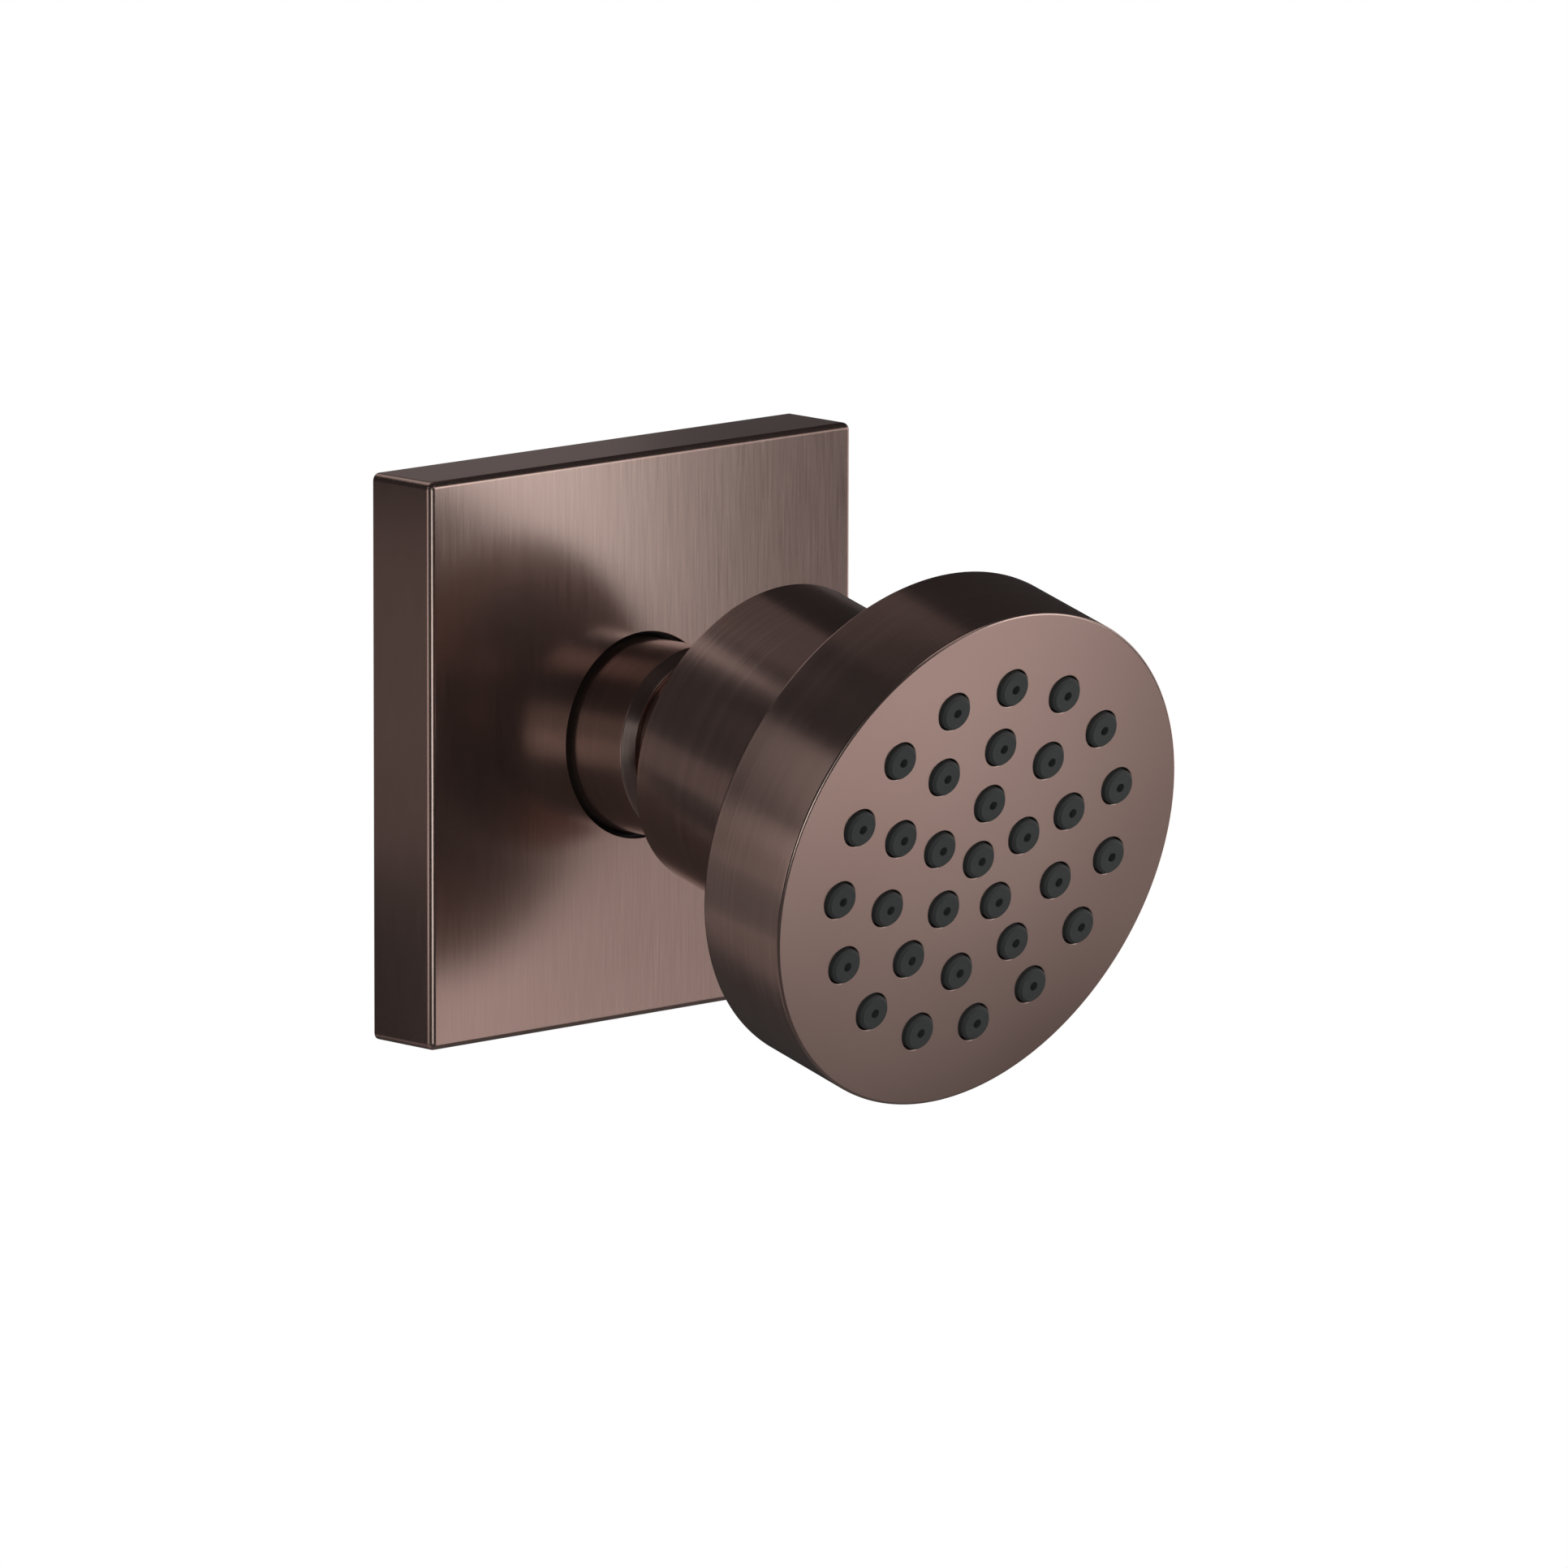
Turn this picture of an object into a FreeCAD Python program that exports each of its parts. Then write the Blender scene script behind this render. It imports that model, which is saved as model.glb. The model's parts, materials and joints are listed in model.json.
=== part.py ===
import FreeCAD, Part
import math
import os

from FreeCAD import Placement, Rotation, Vector

# Shower body jet: a square wall plate, a threaded water inlet behind it, and a round
# spray head on a ball joint. Millimetres. The wall is the plane y = 0, the room is
# towards -Y, +Z is up, and the origin is the centre of the plate's back face.

# Wall plate
plate_side = 60.0
plate_depth = 8.9
plate_edge_round = 0.7
plate_corner_round = 0.8
plate_wall = 1.7
plate_front = 1.8
plate_inner_corner = 2.0
plate_ledge = 1.3
plate_gap = 0.64
hub_wall = 2.4
hub_length = 3.8
hub_lip = 0.9

# Soft seals, by the thickness of their round section
plate_ring_section = 1.5
inlet_ring_section = 1.3
stud_ring_section = 1.3
regulator_ring_section = 1.2
ball_ring_section = 1.8
chamber_ring_section = 1.6
gasket_thickness = 2.0
gasket_width = 4.2

# Water inlet, screwed into the wall fitting
inlet_thread_radius = 10.4775
inlet_thread_length = 14.0
inlet_thread_lead = 0.8
inlet_relief_radius = 9.3
washer_thickness = 1.5
washer_width = 3.8
hex_across_flats = 24.0
hex_height = 3.1
hex_chamfer_height = 0.7
hex_chamfer_overhang = 0.6
inlet_spigot_radius = 8.5
inlet_spigot_length = 7.4
inlet_key_flats = 10.0
strainer_seat_radius = 7.6
strainer_seat_depth = 6.0
regulator_radius = 6.5
regulator_length = 5.5
strainer_flange = 0.8
strainer_wall = 0.6
strainer_cup_radius = 5.6
strainer_length = 5.2
strainer_slots = 10
strainer_slot_width = 0.9
strainer_hole_ring_radius = 3.0
regulator_holes = 8
regulator_hole_radius = 0.7
regulator_hole_ring_radius = 2.9
regulator_pin_radius = 1.6
regulator_recess_radius = 4.0
regulator_recess_depth = 1.6
regulator_lip = 1.2

# Collar that stands out of the plate
collar_radius = 10.3
collar_reach = 8.8
collar_bevel = 1.1
collar_edge_round = 0.25

# Ball stud, screwed into the collar
stud_thread_radius = 6.8
stud_thread_length = 4.6
stud_shoulder_radius = 8.75
stud_shoulder_height = 1.2
stud_neck_radius = 6.0
stud_flare_length = 5.3
ball_radius = 10.5
ball_out = 35.4
ball_front_flat = 8.2
stud_bore_radius = 3.5
stud_key_flats = 8.0
stud_key_depth = 5.0

# Swivel: how far the head tilts from straight, and how far it turns sideways
head_tilt = 15.0
head_pan = 15.0
swing_margin = 2.5

# Ball seats inside the head's housing
seat_thickness = 1.2
rear_seat_end = 80.0
front_seat_back = 2.6
front_seat_front = 9.0
front_seat_radius = 13.1
outlet_radius = 7.2
ball_ring_angle = 55.0
spring_thickness = 0.5
spring_height = 1.2
spring_width = 4.6
nut_length = 3.2
nut_bore_radius = 6.6
nut_slots = 4
nut_slot_width = 3.0
nut_slot_depth = 1.4

# Spray head, measured forwards from the ball's centre
head_face = 25.4
disc_radius = 27.5
disc_thickness = 11.65
disc_edge_round = 0.3
housing_radius = 17.0
housing_rear = 9.0
housing_edge_round = 0.25
flange_thickness = 3.0
shell_wall = 1.6
shell_front = 1.5
mat_thickness = 1.8
chamber_wall = 2.0
spreader_thickness = 2.4

# Nozzles: how many stand on each ring, and the rings' radii
nozzle_counts = (1, 5, 10, 15)
nozzle_ring_radii = (0.0, 6.3, 12.6, 19.25)
nozzle_hole_radius = 2.05
nozzle_hole_break = 0.12
nozzle_tip_radius = 1.9
nozzle_tip_bevel = 0.28
nozzle_stand = 0.6
nozzle_inlet_radius = 1.1
nozzle_jet_radius = 0.48
nozzle_jet_length = 1.4

# Screws that hold the spreader to the housing
screw_count = 5
screw_ring_radius = 16.0
screw_first_angle = 30.0
screw_head_radius = 2.0
screw_head_height = 1.3
screw_radius = 1.2
screw_bite = 2.2
screw_key_flats = 1.8
screw_key_depth = 0.8
post_wall = 1.3

# Clearances
running = 0.05
thread_clearance = 0.1
fit_clearance = 0.1
groove_clearance = 0.1
end_clearance = 0.4
screw_end_clearance = 0.2
opening_clearance = 1.2

# Places that follow from the sizes above, as distances out from the wall
hex_front = washer_thickness + hex_height
spigot_end = hex_front + inlet_spigot_length
collar_step = spigot_end + end_clearance
collar_end = plate_depth + collar_reach
stud_back = collar_end - stud_thread_length
strainer_seat = -inlet_thread_length + strainer_seat_depth
regulator_seat = strainer_seat + regulator_length

# Places in the head, as distances forwards of the ball's centre
disc_back = head_face - disc_thickness
flange_front = disc_back + flange_thickness
mat_front = head_face - shell_front
mat_back = mat_front - mat_thickness
shell_inner_radius = disc_radius - shell_wall
flange_radius = shell_inner_radius - thread_clearance
chamber_radius = shell_inner_radius - 2 * thread_clearance
spreader_back = mat_back - spreader_thickness
housing_bore_radius = front_seat_radius + running
spring_front = front_seat_front + spring_height
nut_front = spring_front + nut_length

# The ball's seats, and the widest swing that the housing's mouth leaves room for
seat_inner = ball_radius + running
seat_outer = seat_inner + seat_thickness
housing_seat = seat_outer + running
widest_swing = math.degrees(math.acos(
    math.cos(math.radians(head_tilt)) * math.cos(math.radians(head_pan))))
seat_edge_angle = math.degrees(math.asin(stud_neck_radius / ball_radius)) + widest_swing + swing_margin
mouth_radius = (housing_rear * math.tan(math.radians(widest_swing))
                + stud_neck_radius / math.cos(math.radians(widest_swing))
                + opening_clearance)

OUT = Vector(0, 0, 1)


def on_wall(shape, tilt=0.0, out=0.0):
    """Turn a shape drawn about Z so that Z points out of the wall, tilted down by tilt."""
    placed = shape.copy()
    placed.Placement = Placement(Vector(0, -out, 0), Rotation(Vector(1, 0, 0), 90.0 + tilt))
    return placed


def on_head(shape):
    """Place a shape drawn about Z from the ball's centre where the tilted head holds it."""
    return on_wall(shape, head_tilt, ball_out)


def outline(*steps):
    """Closed outline in radius and height. A step is a point, or a pair: through, to."""
    corners = []
    for step in steps:
        corners.append(step if isinstance(step[0], tuple) else (None, step))
    edges = []
    here = corners[-1][1]
    for through, there in corners:
        start = Vector(here[0], 0, here[1])
        end = Vector(there[0], 0, there[1])
        if through is not None:
            middle = Vector(through[0], 0, through[1])
            edges.append(Part.Arc(start, middle, end).toShape())
        elif start.distanceToPoint(end) > 1e-6:
            edges.append(Part.LineSegment(start, end).toShape())
        here = there
    return Part.Face(Part.Wire(edges))


def turned(*steps):
    """Solid turned about Z from an outline of (radius, height) points and arcs."""
    return outline(*steps).revolve(Vector(0, 0, 0), OUT, 360)


def tube(inner, outer, low, high):
    """Plain ring from low to high."""
    return turned((inner, low), (outer, low), (outer, high), (inner, high))


def rod(radius, low, high):
    """Plain round bar about Z from low to high."""
    return Part.makeCylinder(radius, high - low, Vector(0, 0, low), OUT)


def seal_ring(centre_radius, centre_height, section):
    """Soft ring of round section."""
    return Part.makeTorus(centre_radius, section / 2, Vector(0, 0, centre_height), OUT)


def hexagon(across_flats, low, high):
    """Six-sided bar about Z."""
    corner = across_flats / math.sqrt(3)
    points = []
    for step in range(7):
        angle = math.radians(60 * step)
        points.append(Vector(corner * math.cos(angle), corner * math.sin(angle), low))
    return Part.Face(Part.makePolygon(points)).extrude(Vector(0, 0, high - low))


def square_block(side, low, high, corner):
    """Square block about Z with its four upright corners rounded."""
    block = Part.makeBox(side, side, high - low, Vector(-side / 2, -side / 2, low))
    upright = []
    for edge in block.Edges:
        if abs(edge.tangentAt(edge.FirstParameter).z) > 0.99:
            upright.append(edge)
    return block.makeFillet(corner, upright)


def ring_edges(shape, radius, height):
    """Round edges of a turned shape at one radius and height."""
    found = []
    for edge in shape.Edges:
        if not isinstance(edge.Curve, Part.Circle):
            continue
        level = abs(edge.Curve.Center.z - height) < 0.001
        if level and abs(edge.Curve.Radius - radius) < 0.001:
            found.append(edge)
    return found


def polar(radius, angle):
    """Point on a sphere about the ball's centre, by its angle from the forward axis."""
    return (radius * math.sin(math.radians(angle)), radius * math.cos(math.radians(angle)))


def height_on_sphere(radius, at):
    """Height at which a sphere about the ball's centre has the radius given by at."""
    return math.sqrt(radius ** 2 - at ** 2)


def around(shape, places):
    """Copies of a shape moved to each (x, y) place, as one compound."""
    copies = []
    for x, y in places:
        copy = shape.copy()
        copy.translate(Vector(x, y, 0))
        copies.append(copy)
    return Part.makeCompound(copies)


def circle_places(count, radius, first_angle):
    """Even places on a circle."""
    places = []
    for step in range(count):
        angle = math.radians(first_angle + 360.0 * step / count)
        places.append((radius * math.cos(angle), radius * math.sin(angle)))
    return places


def nozzle_places():
    """Every nozzle's place on the face, each ring starting at the top."""
    places = []
    for count, radius in zip(nozzle_counts, nozzle_ring_radii):
        places += circle_places(count, radius, 90.0)
    return places


def screw_places():
    return circle_places(screw_count, screw_ring_radius, screw_first_angle)


# The plate's group


def plate_hole_radius():
    return collar_radius + plate_gap


def plate_ring_height():
    """Middle of the soft ring in the plate's hub."""
    return plate_depth - hub_lip - groove_clearance - plate_ring_section / 2


def wall_plate():
    """Square cover with a hollow back, a ledge for the gasket and a grooved hub."""
    plate = square_block(plate_side, 0, plate_depth, plate_corner_round)
    front = []
    for edge in plate.Edges:
        if abs(edge.BoundBox.ZMin - plate_depth) < 0.001:
            front.append(edge)
    plate = plate.makeFillet(plate_edge_round, front)
    back_side = plate_side - 2 * plate_wall
    inner_side = back_side - 2 * plate_ledge
    back = square_block(back_side, -1, gasket_thickness, plate_inner_corner)
    inner = square_block(inner_side, 0, plate_depth - plate_front, plate_inner_corner)
    hub = rod(plate_hole_radius() + hub_wall, plate_depth - hub_length, plate_depth - plate_front)
    middle = plate_ring_height()
    half = plate_ring_section / 2 + groove_clearance
    groove_radius = collar_radius + running + plate_ring_section + groove_clearance
    groove = rod(groove_radius, middle - half, middle + half)
    plate = plate.cut(back).cut(inner).fuse(hub)
    plate = plate.cut(rod(plate_hole_radius(), -1, plate_depth + 1)).cut(groove)
    return plate.removeSplitter()


def wall_gasket():
    """Foam frame that seals the plate's back edge to the wall."""
    side = plate_side - 2 * (plate_wall + fit_clearance)
    frame = square_block(side, 0, gasket_thickness, plate_inner_corner)
    window = square_block(side - 2 * gasket_width, -1, gasket_thickness + 1, plate_inner_corner)
    return frame.cut(window)


def plate_ring():
    """Soft ring in the hub that grips the collar."""
    centre = collar_radius + running + plate_ring_section / 2
    return seal_ring(centre, plate_ring_height(), plate_ring_section)


# The inlet


def inlet_nipple():
    """Turned nipple: wall thread, washer relief, hexagon and the spigot for the collar."""
    lead = inlet_thread_lead
    body = turned(
        (0, -inlet_thread_length),
        (inlet_thread_radius - lead, -inlet_thread_length),
        (inlet_thread_radius, -inlet_thread_length + lead),
        (inlet_thread_radius, 0),
        (inlet_relief_radius, 0),
        (inlet_relief_radius, washer_thickness),
        (inlet_spigot_radius, washer_thickness),
        (inlet_spigot_radius, spigot_end),
        (0, spigot_end))
    face_radius = hex_across_flats / 2 + hex_chamfer_overhang
    corner_radius = hex_across_flats / math.sqrt(3)
    nut_outline = turned(
        (0, washer_thickness),
        (face_radius, washer_thickness),
        (corner_radius, washer_thickness + hex_chamfer_height),
        (corner_radius, hex_front - hex_chamfer_height),
        (face_radius, hex_front),
        (0, hex_front))
    body = body.fuse(hexagon(hex_across_flats, washer_thickness, hex_front).common(nut_outline))
    body = body.cut(rod(strainer_seat_radius, -inlet_thread_length - 1, strainer_seat))
    body = body.cut(rod(regulator_radius, strainer_seat - 1, regulator_seat))
    body = body.cut(hexagon(inlet_key_flats, regulator_seat - 1, spigot_end + 1))
    half = inlet_ring_section / 2 + groove_clearance
    middle = inlet_ring_height()
    groove = tube(inlet_ring_centre() - half, inlet_spigot_radius + 1, middle - half, middle + half)
    return body.cut(groove).removeSplitter()


def inlet_ring_centre():
    return inlet_spigot_radius + thread_clearance - running - inlet_ring_section / 2


def inlet_ring_height():
    return spigot_end - inlet_ring_section


def inlet_ring():
    """Soft ring that seals the nipple's spigot in the collar."""
    return seal_ring(inlet_ring_centre(), inlet_ring_height(), inlet_ring_section)


def inlet_washer():
    """Flat washer between the hexagon and the wall fitting."""
    inner = inlet_relief_radius + fit_clearance
    return tube(inner, inner + washer_width, 0, washer_thickness)


def strainer():
    """Slotted cup with a flange, which keeps grit out of the regulator."""
    outer = strainer_cup_radius
    inner = outer - strainer_wall
    base = strainer_seat - strainer_flange
    end = strainer_seat - strainer_length
    lip = strainer_seat_radius - fit_clearance
    cup = turned(
        (inner, strainer_seat),
        (lip, strainer_seat),
        (lip, base),
        (outer, base),
        (outer, end + strainer_wall),
        (outer - strainer_wall, end),
        (0, end),
        (0, end + strainer_wall),
        (inner, end + strainer_wall))
    slot = Part.makeBox(2 * outer, strainer_slot_width, base - end - 3 * strainer_wall)
    slot.translate(Vector(inner / 2, -strainer_slot_width / 2, end + 2 * strainer_wall))
    slots = []
    for step in range(strainer_slots):
        copy = slot.copy()
        copy.rotate(Vector(0, 0, 0), OUT, 360.0 * step / strainer_slots)
        slots.append(copy)
    hole = rod(strainer_slot_width / 2, end - 1, end + 1)
    holes = around(hole, circle_places(strainer_slots, strainer_hole_ring_radius, 0.0))
    return cup.cut(Part.makeCompound(slots)).cut(holes)


def regulator_ring_height():
    return regulator_seat - regulator_lip - regulator_ring_section / 2


def flow_regulator():
    """Cartridge with a ring of holes round a middle pin, grooved for its soft ring."""
    outer = regulator_radius - fit_clearance
    body = rod(outer, strainer_seat, regulator_seat)
    half = regulator_ring_section / 2 + groove_clearance
    middle = regulator_ring_height()
    body = body.cut(tube(regulator_ring_centre() - half, outer + 1, middle - half, middle + half))
    hole = rod(regulator_hole_radius, strainer_seat - 1, regulator_seat + 1)
    body = body.cut(around(hole, circle_places(regulator_holes, regulator_hole_ring_radius, 0.0)))
    recess_end = strainer_seat + regulator_recess_depth
    recess = tube(regulator_pin_radius, regulator_recess_radius, strainer_seat - 1, recess_end)
    return body.cut(recess)


def regulator_ring_centre():
    return regulator_radius - running - regulator_ring_section / 2


def regulator_ring():
    """Soft ring round the flow regulator."""
    return seal_ring(regulator_ring_centre(), regulator_ring_height(), regulator_ring_section)


# The collar and the ball stud


def joint_collar():
    """Sleeve with a bevelled front, threaded on the nipple and carrying the ball stud."""
    bevel_radius = collar_radius - collar_bevel
    bevel_start = collar_end - collar_bevel
    bore = inlet_spigot_radius + thread_clearance
    front_bore = stud_thread_radius + thread_clearance
    sleeve = turned(
        (bore, hex_front),
        (collar_radius, hex_front),
        (collar_radius, bevel_start),
        (bevel_radius, collar_end),
        (front_bore, collar_end),
        (front_bore, collar_step),
        (bore, collar_step))
    edges = ring_edges(sleeve, collar_radius, bevel_start)
    edges += ring_edges(sleeve, bevel_radius, collar_end)
    return sleeve.makeFillet(collar_edge_round, edges)


def stud_ring_centre():
    return stud_thread_radius + thread_clearance - running - stud_ring_section / 2


def stud_ring_height():
    return stud_back + stud_ring_section


def ball_stud():
    """Hollow stud: threaded spigot, shoulder, flared neck and ball, with a key socket."""
    shoulder_top = collar_end + stud_shoulder_height
    step = stud_shoulder_radius - stud_neck_radius
    flare = (stud_flare_length ** 2 + step ** 2) / (2 * step)
    flare_end = shoulder_top + stud_flare_length
    sweep = math.asin(stud_flare_length / flare) / 2
    flare_middle = (stud_neck_radius + flare * (1 - math.cos(sweep)),
                    flare_end - flare * math.sin(sweep))
    neck_top = ball_out - height_on_sphere(ball_radius, stud_neck_radius)
    flat_radius = height_on_sphere(ball_radius, ball_front_flat)
    stud = turned(
        (0, stud_back),
        (stud_thread_radius, stud_back),
        (stud_thread_radius, collar_end),
        (stud_shoulder_radius, collar_end),
        (stud_shoulder_radius, shoulder_top),
        (flare_middle, (stud_neck_radius, flare_end)),
        (stud_neck_radius, neck_top),
        ((ball_radius, ball_out), (flat_radius, ball_out + ball_front_flat)),
        (0, ball_out + ball_front_flat))
    half = stud_ring_section / 2 + groove_clearance
    middle = stud_ring_height()
    stud = stud.cut(tube(stud_ring_centre() - half, stud_thread_radius + 1, middle - half, middle + half))
    top = ball_out + ball_front_flat
    stud = stud.cut(rod(stud_bore_radius, stud_back - 1, top + 1))
    stud = stud.cut(hexagon(stud_key_flats, top - stud_key_depth, top + 1))
    return stud


def stud_ring():
    """Soft ring that seals the stud in the collar."""
    return seal_ring(stud_ring_centre(), stud_ring_height(), stud_ring_section)


# The ball's seats, drawn from the ball's centre


def rear_ball_seat():
    """Ring between two spheres behind the ball, which carries the pull of the head."""
    edge = 180.0 - seat_edge_angle
    end = 180.0 - rear_seat_end
    between = (edge + end) / 2
    return turned(
        polar(seat_inner, end),
        polar(seat_outer, end),
        (polar(seat_outer, between), polar(seat_outer, edge)),
        polar(seat_inner, edge),
        (polar(seat_inner, between), polar(seat_inner, end)))


def ball_ring_place():
    """Centre of the soft ring on the ball, as radius and height."""
    return polar(ball_radius + running + ball_ring_section / 2, ball_ring_angle)


def front_ball_seat():
    """Cup in front of the ball, grooved for the soft ring."""
    low = (height_on_sphere(seat_inner, front_seat_back), front_seat_back)
    high = (outlet_radius, height_on_sphere(seat_inner, outlet_radius))
    low_angle = math.degrees(math.atan2(low[0], low[1]))
    high_angle = math.degrees(math.atan2(high[0], high[1]))
    seat = turned(
        low,
        (front_seat_radius, front_seat_back),
        (front_seat_radius, front_seat_front),
        (outlet_radius, front_seat_front),
        high,
        (polar(seat_inner, (low_angle + high_angle) / 2), low))
    radius, height = ball_ring_place()
    return seat.cut(seal_ring(radius, height, ball_ring_section + groove_clearance))


def ball_ring():
    """Soft ring that seals the ball."""
    radius, height = ball_ring_place()
    return seal_ring(radius, height, ball_ring_section)


def seat_spring():
    """Cone-shaped spring washer that presses the front seat on the ball."""
    outer = front_seat_radius - fit_clearance
    inner = outer - spring_width
    low = front_seat_front
    return turned(
        (outer, low),
        (outer, low + spring_thickness),
        (inner, spring_front),
        (inner, spring_front - spring_thickness))


def seat_nut():
    """Slotted ring nut that holds the spring and the seats in the housing."""
    nut = tube(nut_bore_radius, front_seat_radius - running, spring_front, nut_front)
    slot = Part.makeBox(front_seat_radius, nut_slot_width, nut_slot_depth + 1)
    slot.translate(Vector(0, -nut_slot_width / 2, nut_front - nut_slot_depth))
    for step in range(nut_slots):
        copy = slot.copy()
        copy.rotate(Vector(0, 0, 0), OUT, 360.0 * step / nut_slots)
        nut = nut.cut(copy)
    return nut


# The spray head, drawn from the ball's centre


def swivel_housing():
    """Round housing with a flange: holds the ball's seats and closes the spray head."""
    edge = 180.0 - seat_edge_angle
    housing = turned(
        (mouth_radius, -housing_rear),
        (housing_radius, -housing_rear),
        (housing_radius, disc_back),
        (flange_radius, disc_back),
        (flange_radius, flange_front),
        (housing_bore_radius, flange_front),
        (housing_bore_radius, front_seat_back - end_clearance),
        (housing_seat, front_seat_back - end_clearance),
        (housing_seat, 0),
        (polar(housing_seat, (90.0 + edge) / 2), polar(housing_seat, edge)))
    edges = ring_edges(housing, housing_radius, -housing_rear)
    edges += ring_edges(housing, housing_radius, disc_back)
    edges += ring_edges(housing, mouth_radius, -housing_rear)
    housing = housing.makeFillet(housing_edge_round, edges)
    half = chamber_ring_section / 2 + groove_clearance
    middle = chamber_ring_centre()
    groove = tube(middle - half, middle + half, flange_front - chamber_ring_section, flange_front + 1)
    hole_end = flange_front - screw_bite - screw_end_clearance
    hole = rod(screw_radius + fit_clearance, hole_end, flange_front + 1)
    return housing.cut(groove).cut(around(hole, screw_places()))


def chamber_ring_centre():
    return chamber_radius - chamber_wall / 2 - chamber_ring_section / 2


def chamber_ring_height():
    return flange_front - chamber_ring_section / 2


def chamber_ring():
    """Soft ring between the housing's flange and the spreader."""
    return seal_ring(chamber_ring_centre(), chamber_ring_height(), chamber_ring_section)


def water_spreader():
    """Moulded tray that backs the nozzle mat: rim, floor with holes, and screw posts."""
    rim_inner = chamber_ring_centre() - chamber_ring_section
    tray = turned(
        (0, spreader_back),
        (rim_inner, spreader_back),
        (rim_inner, flange_front),
        (chamber_radius, flange_front),
        (chamber_radius, mat_back),
        (0, mat_back))
    posts = around(rod(screw_radius + post_wall, flange_front, spreader_back), screw_places())
    tray = tray.fuse(posts)
    hole = rod(nozzle_inlet_radius, spreader_back - 1, mat_back + 1)
    shank = rod(screw_radius + fit_clearance, flange_front - 1, mat_back + 1)
    head = rod(screw_head_radius + fit_clearance, mat_back - screw_head_height, mat_back + 1)
    return tray.cut(around(hole, nozzle_places())).cut(around(shank.fuse(head), screw_places()))


def spreader_screws():
    """Small screws that clamp the spreader to the flange."""
    top = mat_back - fit_clearance
    head = rod(screw_head_radius, mat_back - screw_head_height, top)
    shank = rod(screw_radius, flange_front - screw_bite, mat_back - screw_head_height)
    key = hexagon(screw_key_flats, top - screw_key_depth, top + 1)
    return around(head.fuse(shank).cut(key).removeSplitter(), screw_places())


def nozzle_mat():
    """One soft mat with every nozzle moulded on it, each with a wide inlet and a fine jet."""
    tip = head_face + nozzle_stand
    mat = rod(chamber_radius, mat_back, mat_front)
    nozzle = turned(
        (0, mat_front - mat_thickness / 2),
        (nozzle_tip_radius, mat_front - mat_thickness / 2),
        (nozzle_tip_radius, tip - nozzle_tip_bevel),
        (nozzle_tip_radius - nozzle_tip_bevel, tip),
        (0, tip))
    channel = turned(
        (0, mat_back - 1),
        (nozzle_inlet_radius, mat_back - 1),
        (nozzle_inlet_radius, tip - nozzle_jet_length),
        (nozzle_jet_radius, tip - nozzle_jet_length + nozzle_inlet_radius - nozzle_jet_radius),
        (nozzle_jet_radius, tip + 1),
        (0, tip + 1))
    places = nozzle_places()
    return mat.fuse(around(nozzle, places)).cut(around(channel, places)).removeSplitter()


def spray_shell():
    """Turned cup: the head's face, pierced for the nozzles, and its side wall."""
    shell = turned(
        (0, mat_front),
        (shell_inner_radius, mat_front),
        (shell_inner_radius, disc_back),
        (disc_radius, disc_back),
        (disc_radius, head_face),
        (0, head_face))
    edges = ring_edges(shell, disc_radius, disc_back) + ring_edges(shell, disc_radius, head_face)
    shell = shell.makeFillet(disc_edge_round, edges)
    hole = turned(
        (0, mat_front - 1),
        (nozzle_hole_radius, mat_front - 1),
        (nozzle_hole_radius, head_face - nozzle_hole_break),
        (nozzle_hole_radius + nozzle_hole_break, head_face),
        (nozzle_hole_radius + nozzle_hole_break, head_face + 1),
        (0, head_face + 1))
    return shell.cut(around(hole, nozzle_places()))


wall_parts = {
    "wall_plate": wall_plate,
    "wall_gasket": wall_gasket,
    "plate_ring": plate_ring,
    "inlet_nipple": inlet_nipple,
    "inlet_washer": inlet_washer,
    "inlet_ring": inlet_ring,
    "strainer": strainer,
    "flow_regulator": flow_regulator,
    "regulator_ring": regulator_ring,
    "joint_collar": joint_collar,
    "ball_stud": ball_stud,
    "stud_ring": stud_ring,
}

head_parts = {
    "rear_ball_seat": rear_ball_seat,
    "front_ball_seat": front_ball_seat,
    "ball_ring": ball_ring,
    "seat_spring": seat_spring,
    "seat_nut": seat_nut,
    "swivel_housing": swivel_housing,
    "chamber_ring": chamber_ring,
    "water_spreader": water_spreader,
    "spreader_screws": spreader_screws,
    "nozzle_mat": nozzle_mat,
    "spray_shell": spray_shell,
}

os.makedirs("parts", exist_ok=True)
for name, make in wall_parts.items():
    on_wall(make()).exportStep("parts/" + name + ".step")
for name, make in head_parts.items():
    on_head(make()).exportStep("parts/" + name + ".step")
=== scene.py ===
import json
import math

import bpy
import numpy as np
from mathutils import Matrix, Vector
from mathutils.geometry import delaunay_2d_cdt


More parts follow.
